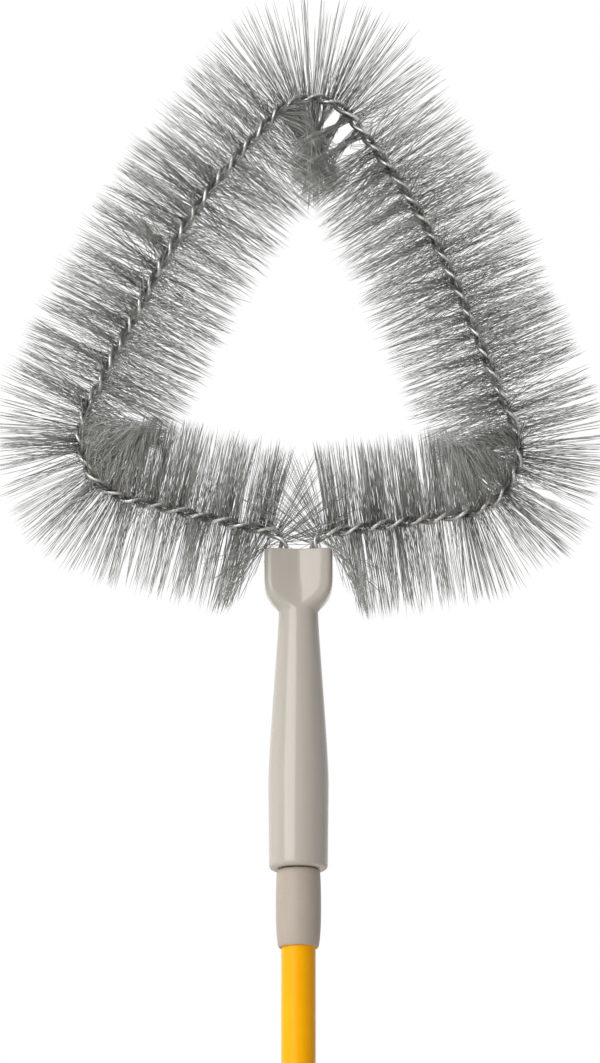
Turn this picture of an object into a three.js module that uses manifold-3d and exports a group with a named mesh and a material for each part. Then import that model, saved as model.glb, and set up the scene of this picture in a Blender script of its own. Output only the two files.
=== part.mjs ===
// Telescopic duster: grey bristles held in a twisted wire that is bent into a rounded triangle, on a
// screw-on plastic socket and a two-stage steel pole with a twist lock.
// Millimetres, Z up along the pole, X across the loop, origin at the middle of the pole's flat foot.

import * as THREE from "three";
import { mergeVertices } from "three/addons/utils/BufferGeometryUtils.js";
import Module from "manifold-3d";

// Gaps and facets
const fitGap = 0.3; // between pieces that are pressed or moulded together
const runGap = 0.4; // between pieces that slide or turn on each other
const roundSides = 24;

// Pole tubes
const outerTubeDiameter = 23;
const outerTubeWall = 0.5;
const outerTubeLength = 690;
const innerTubeDiameter = 19;
const innerTubeWall = 0.4;
const innerTubeLength = 690;
const innerTubeShowing = 95; // between the lock nut and the pole tip, at rest
const crimpBelowTop = 100; // rolled groove in the outer tube that stops the inner one
const crimpDepth = 0.9;
const crimpHalfHeight = 3;

// End cap and grip
const capEyeHeight = 24;
const capSkirtLength = 24;
const capWall = 2.4;
const capFootInset = 3;
const eyeWidth = 9;
const eyeHeight = 12;
const eyeFloor = 5;
const eyeTabThickness = 14;
const gripLength = 130;
const gripWall = 2.6;
const gripAboveCap = 2;
const gripRingCount = 4;
const gripRingDepth = 0.9;

// Twist lock at the top of the outer tube
const colletSkirtLength = 30;
const colletWall = 1.7;
const colletFlange = 4;
const fingerLength = 18;
const fingerWall = 1.9;
const fingerSlotCount = 3; // each slot runs right across, so this makes twice as many fingers
const fingerSlotWidth = 1.8;
const lockPitch = 4;
const lockRidge = 1;
const slipRingThickness = 2.2;
const slipRingWall = 2.4;
const nutWall = 2.6;
const nutLid = 3;
const nutRibCount = 8;
const nutRibDepth = 0.9;

// Stop bush in the foot of the inner tube
const bushStemLength = 24;
const bushHeadLength = 14;
const bushWall = 2.6;

// Pole tip: the barrel over the tube's end and the screw stub above it
const tipBarrelLength = 43.5;
const tipFootWall = 1.5;
const tipBellyWall = 2.7;
const tipShoulderWall = 2.2;
const tipTubeDepth = 36;
const stubDiameter = 20.4;
const stubLength = 36;
const stubBore = 10;
const threadPitch = 5;
const threadDepth = 1.2;
const threadTurns = 3.5;

// Head socket
const socketLength = 181;
const socketFootWall = 5.7;
const socketFootRound = 2.4;
const socketBelly = 0.5; // how far the belly stands out past the foot
const bellyHeight = 47;
const neckRadius = 11;
const neckHeight = 145.8;
const bowlHeight = 22;
const bowlRound = 3.4; // higher is fuller under the rim
const bowlFillet = 1.7; // higher is softer where the bowl leaves the neck
const cupHalfWidth = 19.1;
const cupSquareness = 6; // 2 is an ellipse, higher is closer to a rectangle
const cupWall = 2.5;
const cupDish = 3; // shallow valley down the middle of the cup, front and back
const pocketDepth = 21;
const pocketRound = 5.5;
const screwDepth = 44;
const neckBoreRadius = 7.8;
const plugRecess = 1.5;

// Wire loop: the polygon that the twisted core follows, measured from the middle of the cup's rim
const leftCornerAcross = 139.4;
const leftCornerRise = 41;
const leftCornerBend = 37;
const rightCornerAcross = 138.5;
const rightCornerRise = 28.4;
const rightCornerBend = 38;
const apexAcross = 9.5; // hand-bent, so the top stands a little to the right
const apexRise = 281.4;
const apexBend = 27;
const sideBow = 17.8;
const sideBowAt = 0.63;
const sideBend = 550;
const mouthAcross = 8.5;
const mouthRise = 9.8;
const mouthBend = 9;
const tailAboveFloor = 2; // from the pocket's floor up to the wire's ends

// Twisted core and bristles
const strandDiameter = 2.5;
const strandGap = 1.5;
const twistPitch = 24.73;
const twistStart = 82; // degrees round the loop's line at the first tail
const strandSides = 6;
const stepsPerTwist = 6;
const bristleReach = 50;
const bristleDepth = 38; // front and back of the core: the fill lies a little flat
const bristleSides = 16;
const cellCount = 4; // hollow cells that keep the bristle solids as light as loose filament
const cellRim = 1.3;
const cellSpoke = 1.4;
const cellCore = 7;
const tunnelGap = 0.95;
const splayTopHalfWidth = 20.2; // bristles part either side of the cup
const splaySlope = 0.36;
const splayAboveRim = 4;

const wasm = await Module();
wasm.setup();

// Levels along the pole
const tubeFoot = capEyeHeight + fitGap;
const tubeTop = tubeFoot + outerTubeLength;
const fingerFoot = fitGap + colletFlange;
const fingerTop = fingerFoot + fingerLength;
const ringFoot = fingerTop + fitGap;
const ringTop = ringFoot + slipRingThickness;
const nutTop = ringTop + fitGap + nutLid;
const tipFoot = tubeTop + nutTop + innerTubeShowing;
const socketFoot = tipFoot + tipBarrelLength + fitGap;
const cupRim = socketFoot + socketLength;

// Radii shared by neighbouring pieces
const outerRadius = outerTubeDiameter / 2;
const outerBore = outerRadius - outerTubeWall;
const innerRadius = innerTubeDiameter / 2;
const innerBore = innerRadius - innerTubeWall;
const skirtRadius = outerRadius + fitGap + colletWall;
const lockCrest = skirtRadius + lockRidge;
const nutBore = lockCrest + runGap;
const fingerBore = innerRadius + runGap;
const fingerRadius = fingerBore + fingerWall;
const stubRadius = stubDiameter / 2;
const screwBore = stubRadius + runGap;
const strandRadius = strandDiameter / 2;
const twistRadius = strandRadius + strandGap / 2;
const coreRadius = twistRadius + strandRadius;
const tunnelRadius = coreRadius + tunnelGap;
const tailDepth = pocketDepth - fitGap - tailAboveFloor;
const flatness = bristleDepth / bristleReach;

const finishes = {
  taupePlastic: new THREE.MeshStandardMaterial({ color: "#bcb2a7", roughness: 0.35 }),
  taupeSatin: new THREE.MeshStandardMaterial({ color: "#b9aca0", roughness: 0.5 }),
  yellowPaint: new THREE.MeshStandardMaterial({ color: "#f2a512", roughness: 0.3 }),
  steelWire: new THREE.MeshStandardMaterial({ color: "#a6a6a3", roughness: 0.3, metalness: 1 }),
  greyBristle: new THREE.MeshStandardMaterial({ color: "#979793", roughness: 0.8 }),
  whiteNylon: new THREE.MeshStandardMaterial({ color: "#dcd9d2", roughness: 0.5 }),
  darkGrip: new THREE.MeshStandardMaterial({ color: "#a79c91", roughness: 0.7 }),
};

function solidFrom(geometry) {
  const loose = geometry.index ? geometry.toNonIndexed() : geometry;
  const bare = new THREE.BufferGeometry();
  bare.setAttribute("position", loose.getAttribute("position").clone());
  const welded = mergeVertices(bare, 1e-4);
  const corners = welded.index.array;
  const kept = [];
  for (let i = 0; i < corners.length; i += 3) {
    const [a, b, c] = corners.slice(i, i + 3);
    if (a !== b && b !== c && a !== c) kept.push(a, b, c);
  }
  return new wasm.Manifold(
    new wasm.Mesh({
      numProp: 3,
      vertProperties: welded.getAttribute("position").array,
      triVerts: Uint32Array.from(kept),
    }),
  );
}

function geometryFrom(solid) {
  const mesh = solid.getMesh();
  const positions = new Float32Array(mesh.numVert * 3);
  for (let i = 0; i < mesh.numVert; i++) {
    const start = i * mesh.numProp;
    positions.set(mesh.vertProperties.subarray(start, start + 3), i * 3);
  }
  const geometry = new THREE.BufferGeometry();
  geometry.setAttribute("position", new THREE.BufferAttribute(positions, 3));
  geometry.setIndex(new THREE.BufferAttribute(mesh.triVerts, 1));
  const faceted = geometry.toNonIndexed();
  faceted.computeVertexNormals();
  return faceted;
}

function cut(geometry, ...tools) {
  const rest = tools.reduce((left, tool) => left.subtract(solidFrom(tool)), solidFrom(geometry));
  return geometryFrom(rest);
}

function join(...geometries) {
  const [first, ...others] = geometries.map(solidFrom);
  return geometryFrom(others.reduce((sum, other) => sum.add(other), first));
}

function common(geometry, ...limits) {
  const rest = limits.reduce((left, limit) => left.intersect(solidFrom(limit)), solidFrom(geometry));
  return geometryFrom(rest);
}

// A turned solid about Z. The profile lists [radius, height] up the outside and down the inside.
function turned(profile, sides = roundSides) {
  const points = profile.map(([radius, height]) => new THREE.Vector2(radius, height));
  return new THREE.LatheGeometry(points, sides).rotateX(Math.PI / 2);
}

function ring(inner, outer, foot, top, chamfer = 0) {
  return turned([
    [inner, foot],
    [outer - chamfer, foot],
    [outer, foot + chamfer],
    [outer, top - chamfer],
    [outer - chamfer, top],
    [inner, top],
    [inner, foot],
  ]);
}

function outerTube() {
  const crimp = tubeTop - crimpBelowTop;
  const wall = (radius) => [
    [radius, tubeFoot],
    [radius, crimp - crimpHalfHeight],
    [radius - crimpDepth, crimp - crimpHalfHeight / 4],
    [radius - crimpDepth, crimp + crimpHalfHeight / 4],
    [radius, crimp + crimpHalfHeight],
    [radius, tubeTop],
  ];
  return turned([...wall(outerRadius), ...wall(outerBore).reverse(), [outerRadius, tubeFoot]]);
}

function polygon(radius, sides) {
  const points = Array.from({ length: sides }, (_, i) => {
    const turn = (2 * Math.PI * i) / sides;
    return new THREE.Vector2(radius * Math.cos(turn), radius * Math.sin(turn));
  });
  return new THREE.Shape(points);
}

function swept(shape, curve, steps) {
  curve.arcLengthDivisions = steps * 4;
  return new THREE.ExtrudeGeometry(shape, { steps, extrudePath: curve, bevelEnabled: false });
}

// A flat outline in X and Z, extruded along Y and centred on it.
function crosswise(shape, depth) {
  const slab = new THREE.ExtrudeGeometry(shape, { depth, bevelEnabled: false, curveSegments: 6 });
  return slab.rotateX(Math.PI / 2).translate(0, depth / 2, 0);
}

function roundedRectangle(halfWidth, halfDepth, corner) {
  const round = Math.min(corner, halfWidth - 0.1, halfDepth - 0.1);
  const shape = new THREE.Shape();
  shape.absarc(halfWidth - round, halfDepth - round, round, 0, Math.PI / 2);
  shape.absarc(round - halfWidth, halfDepth - round, round, Math.PI / 2, Math.PI);
  shape.absarc(round - halfWidth, round - halfDepth, round, Math.PI, 1.5 * Math.PI);
  shape.absarc(halfWidth - round, round - halfDepth, round, 1.5 * Math.PI, 2 * Math.PI);
  return shape;
}

class Helix extends THREE.Curve {
  constructor(radius, pitch, turns, foot) {
    super();
    Object.assign(this, { radius, pitch, turns, foot });
  }

  getPoint(t, target = new THREE.Vector3()) {
    const turn = 2 * Math.PI * this.turns * t;
    const height = this.foot + this.pitch * this.turns * t;
    return target.set(this.radius * Math.cos(turn), this.radius * Math.sin(turn), height);
  }
}

// A rounded screw ridge, half sunk in the wall that it stands on.
function screwRidge(radius, ridge, pitch, turns, foot) {
  const helix = new Helix(radius, pitch, turns, foot);
  return swept(polygon(ridge, 5), helix, Math.ceil(turns * 14));
}

// A run of points that a section is swept along, with a mitre at each.
class Waypoints extends THREE.Curve {
  constructor(points) {
    super();
    this.points = points;
  }

  getUtoTmapping(share) {
    return share;
  }

  getPoint(t, target = new THREE.Vector3()) {
    const spot = t * (this.points.length - 1);
    const i = Math.min(Math.floor(spot), this.points.length - 2);
    return target.lerpVectors(this.points[i], this.points[i + 1], spot - i);
  }
}

// Sweeps a section along points given in X and Z.
function sweptAlong(shape, flatPoints) {
  const apart = flatPoints.filter((point, i) => i === 0 || point.distanceTo(flatPoints[i - 1]) > 0.01);
  const points = apart.map((point) => new THREE.Vector3(point.x, 0, point.y));
  return swept(shape, new Waypoints(points), points.length - 1);
}

function piece(name, geometry, finish) {
  const mesh = new THREE.Mesh(geometry, finish);
  mesh.name = name;
  return mesh;
}

function endCap() {
  const outside = outerRadius + fitGap + capWall;
  const top = capEyeHeight + capSkirtLength;
  const body = turned([
    [0, 0],
    [outside - capFootInset, 0],
    [outside - capFootInset / 4, capFootInset * 0.9],
    [outside, capFootInset * 2],
    [outside, top - 1.2],
    [outside - 1.2, top],
    [outerRadius + fitGap, top],
    [outerRadius + fitGap, capEyeHeight],
    [0, capEyeHeight],
  ]);
  const round = Math.min(eyeWidth, eyeHeight) / 2 - 0.05;
  const hole = crosswise(roundedRectangle(eyeWidth / 2, eyeHeight / 2, round), 4 * outside);
  hole.translate(0, 0, eyeFloor + eyeHeight / 2);
  const flatHeight = capEyeHeight - 3;
  const flats = [-1, 1].map((side) => {
    const slab = new THREE.BoxGeometry(4 * outside, 2 * outside, 2 * flatHeight);
    return slab.translate(0, side * (eyeTabThickness / 2 + outside), 0);
  });
  return cut(body, hole, ...flats);
}

function gripSleeve(foot) {
  const inside = outerRadius + fitGap;
  const outside = inside + gripWall;
  const step = (gripLength - 12) / gripRingCount;
  const profile = [
    [inside, foot],
    [outside - 1, foot],
    [outside, foot + 1.5],
  ];
  for (let i = 0; i < gripRingCount; i++) {
    const middle = foot + 6 + step * (i + 0.5);
    profile.push([outside, middle - step * 0.22]);
    profile.push([outside - gripRingDepth, middle - step * 0.1]);
    profile.push([outside - gripRingDepth, middle + step * 0.1]);
    profile.push([outside, middle + step * 0.22]);
  }
  profile.push([outside, foot + gripLength - 1.5]);
  profile.push([outside - 1, foot + gripLength]);
  profile.push([inside, foot + gripLength]);
  profile.push([inside, foot]);
  return turned(profile);
}

// The collet stands on the tube's top end, which is at height 0 here.
function lockCollet() {
  const body = turned([
    [outerRadius + fitGap, -colletSkirtLength],
    [skirtRadius - 0.6, -colletSkirtLength],
    [skirtRadius, 0.6 - colletSkirtLength],
    [skirtRadius, fingerFoot - 0.8],
    [skirtRadius - 0.8, fingerFoot],
    [fingerRadius, fingerFoot],
    [fingerRadius, fingerTop - 2],
    [fingerRadius - 0.7, fingerTop],
    [fingerBore, fingerTop],
    [fingerBore, fitGap],
    [outerRadius + fitGap, fitGap],
    [outerRadius + fitGap, -colletSkirtLength],
  ]);
  const turns = 2.5;
  const ridge = screwRidge(skirtRadius, lockRidge, lockPitch, turns, ridgeFoot());
  const slotFoot = fingerFoot + 1.5;
  const slots = Array.from({ length: fingerSlotCount }, (_, i) => {
    const slot = new THREE.BoxGeometry(4 * fingerRadius, fingerSlotWidth, 2 * fingerLength);
    slot.translate(0, 0, slotFoot + fingerLength);
    return slot.rotateZ((Math.PI * (i + 0.5)) / fingerSlotCount);
  });
  return cut(join(body, ridge), ...slots);
}

function ridgeFoot() {
  return 5 - colletSkirtLength;
}

function lockNut() {
  const foot = 2 - colletSkirtLength;
  const outside = nutBore + nutWall;
  const step = fingerFoot + runGap + lockPitch / 2;
  const chamber = fingerRadius + slipRingWall * 0.5 + runGap;
  const opening = innerRadius + 2 * runGap;
  const shell = turned(
    [
      [nutBore, foot],
      [outside - 0.8, foot],
      [outside, foot + 1.2],
      [outside, step - 4],
      [outside, step],
      [chamber + nutWall, nutTop - 3],
      [chamber + nutWall - 1.5, nutTop],
      [opening, nutTop],
      [opening, ringTop + fitGap],
      [chamber, ringTop + fitGap],
      [chamber, step],
      [nutBore, step],
      [nutBore, foot],
    ],
    nutRibCount * 4,
  );
  const spots = shell.getAttribute("position");
  for (let i = 0; i < spots.count; i++) {
    const radius = Math.hypot(spots.getX(i), spots.getY(i));
    const turn = Math.atan2(spots.getY(i), spots.getX(i)) / (2 * Math.PI);
    const slice = Math.round(turn * nutRibCount * 4 + 8 * nutRibCount) % 4;
    const high = spots.getZ(i) > step - 1;
    if (radius < outside - 0.1 || slice < 2 || high) continue;
    const scale = (radius - nutRibDepth) / radius;
    spots.setXY(i, spots.getX(i) * scale, spots.getY(i) * scale);
  }
  const ridge = screwRidge(nutBore, lockRidge, lockPitch, 1.5, ridgeFoot() + lockPitch / 2);
  return join(shell, ridge);
}

function poleTip() {
  const bore = innerRadius + fitGap;
  const shoulder = bore + tipShoulderWall;
  const core = stubRadius - threadDepth;
  const top = tipBarrelLength + stubLength;
  const barrel = new THREE.SplineCurve([
    new THREE.Vector2(bore + tipFootWall, 1),
    new THREE.Vector2(bore + tipBellyWall - 0.15, tipBarrelLength * 0.3),
    new THREE.Vector2(bore + tipBellyWall, tipBarrelLength * 0.52),
    new THREE.Vector2(bore + tipBellyWall - 0.1, tipBarrelLength * 0.76),
    new THREE.Vector2(shoulder, tipBarrelLength - 0.8),
  ]);
  const body = turned([
    [bore, 0],
    [bore + tipFootWall - 0.5, 0],
    ...barrel.getPoints(5).map((point) => [point.x, point.y]),
    [shoulder - 0.8, tipBarrelLength],
    [core, tipBarrelLength],
    [core, top - 1.5],
    [core - 1.5, top],
    [stubBore / 2, top],
    [stubBore / 2, tipTubeDepth + fitGap],
    [bore, tipTubeDepth + fitGap],
    [bore, 0],
  ]);
  const foot = tipBarrelLength + threadDepth + 1.5;
  const fits = (stubLength - 2 * threadDepth - 4) / threadPitch;
  const ridge = screwRidge(core, threadDepth, threadPitch, Math.min(threadTurns, fits), foot);
  return join(body, ridge);
}

function stopBush() {
  const stem = innerBore - fitGap;
  const head = outerBore - runGap;
  return turned([
    [stem - bushWall, -bushHeadLength - fitGap],
    [head - 1, -bushHeadLength - fitGap],
    [head, 1 - bushHeadLength - fitGap],
    [head, -fitGap],
    [stem, -fitGap],
    [stem, bushStemLength - 1],
    [stem - 1, bushStemLength],
    [stem - bushWall, bushStemLength],
    [stem - bushWall, -bushHeadLength - fitGap],
  ]);
}

// The socket stands on height 0. Above the neck its round section widens into a flattened cup.
function headSocket() {
  const footRadius = screwBore + socketFootWall;
  const bellyRadius = footRadius + socketBelly;
  const barrel = new THREE.Path();
  barrel.moveTo(footRadius - socketFootRound, 0);
  barrel.absarc(footRadius - socketFootRound, socketFootRound, socketFootRound, -Math.PI / 2, 0);
  barrel.lineTo(bellyRadius, bellyHeight);
  const shoulder = bellyHeight + (neckHeight - bellyHeight) * 0.22;
  const waist = bellyHeight + (neckHeight - bellyHeight) * 0.82;
  barrel.bezierCurveTo(bellyRadius, shoulder, neckRadius + 0.5, waist, neckRadius, neckHeight);
  const rise = [0.08, 0.16, 0.25, 0.36, 0.5, 0.7, 1].map((share) => neckHeight + bowlHeight * share);
  const outline = [
    ...barrel.getPoints(4).map((point) => [point.x, point.y]),
    ...rise.map((height) => [neckRadius, height]),
    [neckRadius, socketLength - 0.8],
    [neckRadius - 0.8, socketLength],
  ];
  const body = turned([
    [screwBore, 1.2],
    [screwBore + 1.2, 0],
    ...outline,
    [neckBoreRadius, socketLength],
    [neckBoreRadius, screwDepth + 2],
    [screwBore, screwDepth],
    [screwBore, 1.2],
  ]);
  const spots = body.getAttribute("position");
  for (let i = 0; i < spots.count; i++) {
    const height = spots.getZ(i);
    const radius = Math.hypot(spots.getX(i), spots.getY(i));
    if (height <= neckHeight || radius < neckBoreRadius + 0.2) continue;
    const share = Math.min(1, (height - neckHeight) / bowlHeight);
    const swell = (1 - (1 - share) ** bowlRound) ** bowlFillet;
    const power = 2 / THREE.MathUtils.lerp(2, cupSquareness, swell);
    const across = radius + (cupHalfWidth - neckRadius) * swell;
    const turn = Math.atan2(spots.getY(i), spots.getX(i));
    const x = across * squared(Math.cos(turn), power);
    const y = radius * squared(Math.sin(turn), power);
    const dish = cupDish * swell * Math.max(0, 1 - Math.abs(x) / (0.85 * across));
    spots.setXY(i, x, y - Math.sign(y) * dish);
  }
  return cut(body, pocket(0, socketLength - pocketDepth, pocketDepth + 1));
}

// Pushes a cosine or sine towards plus or minus 1, for a rounded rectangle.
function squared(share, power) {
  return Math.abs(share) < 1e-6 ? 0 : Math.sign(share) * Math.abs(share) ** power;
}

function pocket(gap, foot, height) {
  const halfWidth = cupHalfWidth - cupWall - gap;
  const halfDepth = neckRadius - cupDish - cupWall - gap;
  const shape = roundedRectangle(halfWidth, halfDepth, pocketRound);
  const slab = new THREE.ExtrudeGeometry(shape, { depth: height, bevelEnabled: false, curveSegments: 4 });
  return slab.translate(0, 0, foot);
}

// From here on heights are measured from the cup's rim.
function wirePlug() {
  const body = pocket(fitGap, fitGap - pocketDepth, pocketDepth - plugRecess - fitGap);
  return cut(body, tunnel());
}

// Corners of the core's polygon, from one tail round the loop to the other.
function loopCorners() {
  const left = new THREE.Vector2(-leftCornerAcross, leftCornerRise);
  const right = new THREE.Vector2(rightCornerAcross, rightCornerRise);
  const apex = new THREE.Vector2(apexAcross, apexRise);
  const bowed = (corner, side) => {
    const along = apex.clone().sub(corner);
    const out = new THREE.Vector2(side * -along.y, side * along.x).setLength(sideBow);
    return corner.clone().addScaledVector(along, sideBowAt).add(out);
  };
  return [
    { at: new THREE.Vector2(-mouthAcross, -tailDepth), bend: 0 },
    { at: new THREE.Vector2(-mouthAcross, mouthRise), bend: mouthBend },
    { at: left, bend: leftCornerBend },
    { at: bowed(left, 1), bend: sideBend },
    { at: apex, bend: apexBend },
    { at: bowed(right, -1), bend: sideBend },
    { at: right, bend: rightCornerBend },
    { at: new THREE.Vector2(mouthAcross, mouthRise), bend: mouthBend },
    { at: new THREE.Vector2(mouthAcross, -tailDepth), bend: 0 },
  ];
}

// Each inner corner with its rounding: centre, radius and the points where it meets the legs.
function roundings(corners) {
  return corners.slice(1, -1).map((corner, i) => {
    const before = corners[i].at.clone().sub(corner.at);
    const after = corners[i + 2].at.clone().sub(corner.at);
    const half = Math.abs(before.angleTo(after)) / 2;
    const longest = 0.5 * Math.min(before.length(), after.length());
    const leg = Math.min(corner.bend / Math.tan(half), longest);
    const radius = leg * Math.tan(half);
    const enter = corner.at.clone().add(before.clone().setLength(leg));
    const leave = corner.at.clone().add(after.clone().setLength(leg));
    const inward = before.clone().normalize().add(after.clone().normalize());
    const centre = corner.at.clone().add(inward.setLength(radius / Math.sin(half)));
    return { enter, leave, centre, radius };
  });
}

const corners = loopCorners();
const rounds = roundings(corners);

function coreOutline() {
  const outline = new THREE.Path();
  outline.moveTo(corners[0].at.x, corners[0].at.y);
  for (const { enter, leave, centre, radius } of rounds) {
    outline.lineTo(enter.x, enter.y);
    const from = enter.clone().sub(centre).angle();
    const to = leave.clone().sub(centre).angle();
    const turnsLeft = enter.clone().sub(centre).cross(leave.clone().sub(centre)) > 0;
    outline.absarc(centre.x, centre.y, radius, from, to, !turnsLeft);
  }
  const end = corners[corners.length - 1].at;
  outline.lineTo(end.x, end.y);
  return outline;
}

const coreLine = coreOutline();
const coreLength = coreLine.getLength();

// One strand of the twisted core, winding round the loop's line.
class StrandLine extends THREE.Curve {
  constructor(phase) {
    super();
    this.phase = phase;
  }

  getPoint(t, target = new THREE.Vector3()) {
    const middle = coreLine.getPoint(t);
    const ahead = coreLine.getTangent(t);
    const turn = this.phase + (2 * Math.PI * t * coreLength) / twistPitch;
    const across = twistRadius * Math.cos(turn);
    const depth = twistRadius * Math.sin(turn);
    return target.set(middle.x - ahead.y * across, depth, middle.y + ahead.x * across);
  }
}

function strand(phase) {
  const start = THREE.MathUtils.degToRad(twistStart);
  const steps = Math.round((stepsPerTwist * coreLength) / twistPitch);
  return swept(polygon(strandRadius, strandSides), new StrandLine(phase + start), steps);
}

// The clear way around the core, which runs on past the wire's ends.
function tunnel() {
  const line = coreLine.getPoints(5);
  const past = new THREE.Vector2(0, -tunnelRadius - tailAboveFloor);
  const first = line[0].clone().add(past);
  const last = line[line.length - 1].clone().add(past);
  return sweptAlong(polygon(tunnelRadius, 8), [first, ...line, last]);
}

// A slab of space on one side of a line in X and Z: the side that the line's left hand points to.
function leftOf(start, end, shift) {
  const along = end.clone().sub(start).normalize();
  const left = new THREE.Vector2(-along.y, along.x);
  const far = 900;
  const base = start.clone().addScaledVector(left, shift);
  const shape = new THREE.Shape([
    base.clone().addScaledVector(along, -far),
    base.clone().addScaledVector(along, far),
    base.clone().addScaledVector(along, far).addScaledVector(left, far),
    base.clone().addScaledVector(along, -far).addScaledVector(left, far),
  ]);
  return crosswise(shape, 4 * bristleReach);
}

// Outline of one hollow cell about the core, between two spokes.
function cell(index) {
  const width = (2 * Math.PI) / cellCount;
  const rim = bristleReach * Math.cos(Math.PI / bristleSides) - cellRim;
  const corner = (radius, share) => {
    const spoke = Math.asin(cellSpoke / 2 / radius);
    const turn = width * index + spoke + (width - 2 * spoke) * share;
    return new THREE.Vector2(radius * Math.cos(turn), radius * Math.sin(turn));
  };
  const outer = [0, 1 / 3, 2 / 3, 1].map((share) => corner(rim, share));
  return [...outer, corner(cellCore, 1), corner(cellCore, 0)];
}

// Swept sections have the brush's depth along X, turned ones along Y.
const sweptFlat = (point) => new THREE.Vector2(point.x * flatness, point.y);
const turnedFlat = (point) => new THREE.Vector2(point.x, point.y * flatness);

const cells = Array.from({ length: cellCount }, (_, i) => cell(i));
const roundSection = polygon(bristleReach, bristleSides);
const bristleSection = new THREE.Shape(roundSection.getPoints().map(sweptFlat));
bristleSection.holes = cells.map((points) => new THREE.Path(points.map(sweptFlat)));

// Bristles along a leg of the loop, between two roundings. They are cut along the halving lines.
function bristleLeg(first, last) {
  const direction = last.enter.clone().sub(first.leave).normalize();
  const start = first.leave.clone().addScaledVector(direction, fitGap);
  const end = last.enter.clone().addScaledVector(direction, -fitGap);
  const bow = rounds[rounds.indexOf(first) + 1];
  const middle = corners[rounds.indexOf(bow) + 1].at;
  const inward = bow.centre.clone().sub(middle);
  const nearest = middle.clone().add(inward.setLength(inward.length() - bow.radius));
  return sweptAlong(bristleSection, [start, bow.enter, nearest, bow.leave, end]);
}

function halvingLine(round) {
  const corner = corners[rounds.indexOf(round) + 1].at;
  return [corner, round.centre];
}

function sideBristles(first, last) {
  const [firstCorner, firstCentre] = halvingLine(first);
  const [lastCorner, lastCentre] = halvingLine(last);
  const kept = common(
    bristleLeg(first, last),
    leftOf(firstCorner, firstCentre, fitGap / 2),
    leftOf(lastCentre, lastCorner, fitGap / 2),
  );
  return cut(kept, tunnel());
}

// The two legs that run in to the cup end at the middle and part around the socket.
function baseBristles(round, side) {
  const mouth = corners[side < 0 ? 1 : corners.length - 2].at;
  const outer = side < 0 ? round.enter : round.leave;
  const along = mouth.clone().sub(outer).normalize();
  const start = outer.clone().addScaledVector(along, fitGap);
  const end = mouth.clone().addScaledVector(along, mouthAcross + bristleReach);
  const [corner, centre] = halvingLine(round);
  const body = sweptAlong(bristleSection, [start, end]);
  const up = new THREE.Vector2(0, 1);
  const origin = new THREE.Vector2(0, 0);
  const inner = side < 0 ? leftOf(origin, up, fitGap / 2) : leftOf(up, origin, fitGap / 2);
  const outerLimit = side < 0 ? leftOf(centre, corner, fitGap / 2) : leftOf(corner, centre, fitGap / 2);
  const kept = common(body, inner, outerLimit);
  return cut(kept, tunnel(), splay());
}

// The clear space around the socket, widening downwards from just above the cup's rim.
function splay() {
  const depth = 2 * bristleReach + mouthRise + splayAboveRim;
  const top = splayTopHalfWidth;
  const foot = top + splaySlope * depth;
  const shape = new THREE.Shape([
    new THREE.Vector2(-foot, splayAboveRim - depth),
    new THREE.Vector2(foot, splayAboveRim - depth),
    new THREE.Vector2(top, splayAboveRim),
    new THREE.Vector2(-top, splayAboveRim),
  ]);
  return crosswise(shape, 4 * bristleReach);
}

// Bristles fanning round the outside of a bend: a turned fan, kept between the bend's two ends.
function cornerBristles(round) {
  const { centre, radius, enter, leave } = round;
  const rim = new THREE.Path();
  rim.absellipse(radius, 0, bristleReach, bristleDepth, -Math.PI / 2, Math.PI / 2);
  const profile = [
    new THREE.Vector2(0, -bristleDepth),
    ...rim.getPoints(bristleSides / 4),
    new THREE.Vector2(0, bristleDepth),
  ];
  const placed = (points) => new THREE.LatheGeometry(points, roundSides).translate(centre.x, 0, centre.y);
  const outward = new THREE.Vector2(radius, 0);
  const hollows = cells
    .map((points) => points.map((point) => turnedFlat(point).add(outward)))
    .filter((points) => points.every((point) => point.x > cellRim))
    .map((points) => placed([...points, points[0]]));
  const kept = common(placed(profile), leftOf(enter, centre, 0), leftOf(centre, leave, 0));
  return cut(kept, tunnel(), ...hollows);
}

const [bendLeft, bendTop, bendRight] = [rounds[1], rounds[3], rounds[5]];
const { taupePlastic, taupeSatin, yellowPaint, steelWire, greyBristle, whiteNylon, darkGrip } = finishes;

const outerPole = new THREE.Group();
outerPole.name = "outer_pole_group";
const gripFoot = capEyeHeight + capSkirtLength + gripAboveCap;
outerPole.add(
  piece("end_cap", endCap(), taupePlastic),
  piece("outer_tube", outerTube(), yellowPaint),
  piece("grip_sleeve", gripSleeve(gripFoot), darkGrip),
);

const lock = new THREE.Group();
lock.name = "lock_group";
lock.position.z = tubeTop;
const slipBore = innerRadius + 1.5 * runGap;
lock.add(
  piece("lock_collet", lockCollet(), whiteNylon),
  piece("slip_ring", ring(slipBore, slipBore + slipRingWall, ringFoot, ringTop, 0.3), whiteNylon),
  piece("lock_nut", lockNut(), taupePlastic),
);

const innerPole = new THREE.Group();
innerPole.name = "inner_pole_group";
innerPole.position.z = tipFoot;
const innerFoot = tipTubeDepth - innerTubeLength;
const bush = piece("stop_bush", stopBush(), whiteNylon);
bush.position.z = innerFoot;
innerPole.add(
  piece("inner_tube", ring(innerBore, innerRadius, innerFoot, tipTubeDepth), yellowPaint),
  bush,
  piece("pole_tip", poleTip(), taupeSatin),
);

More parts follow.
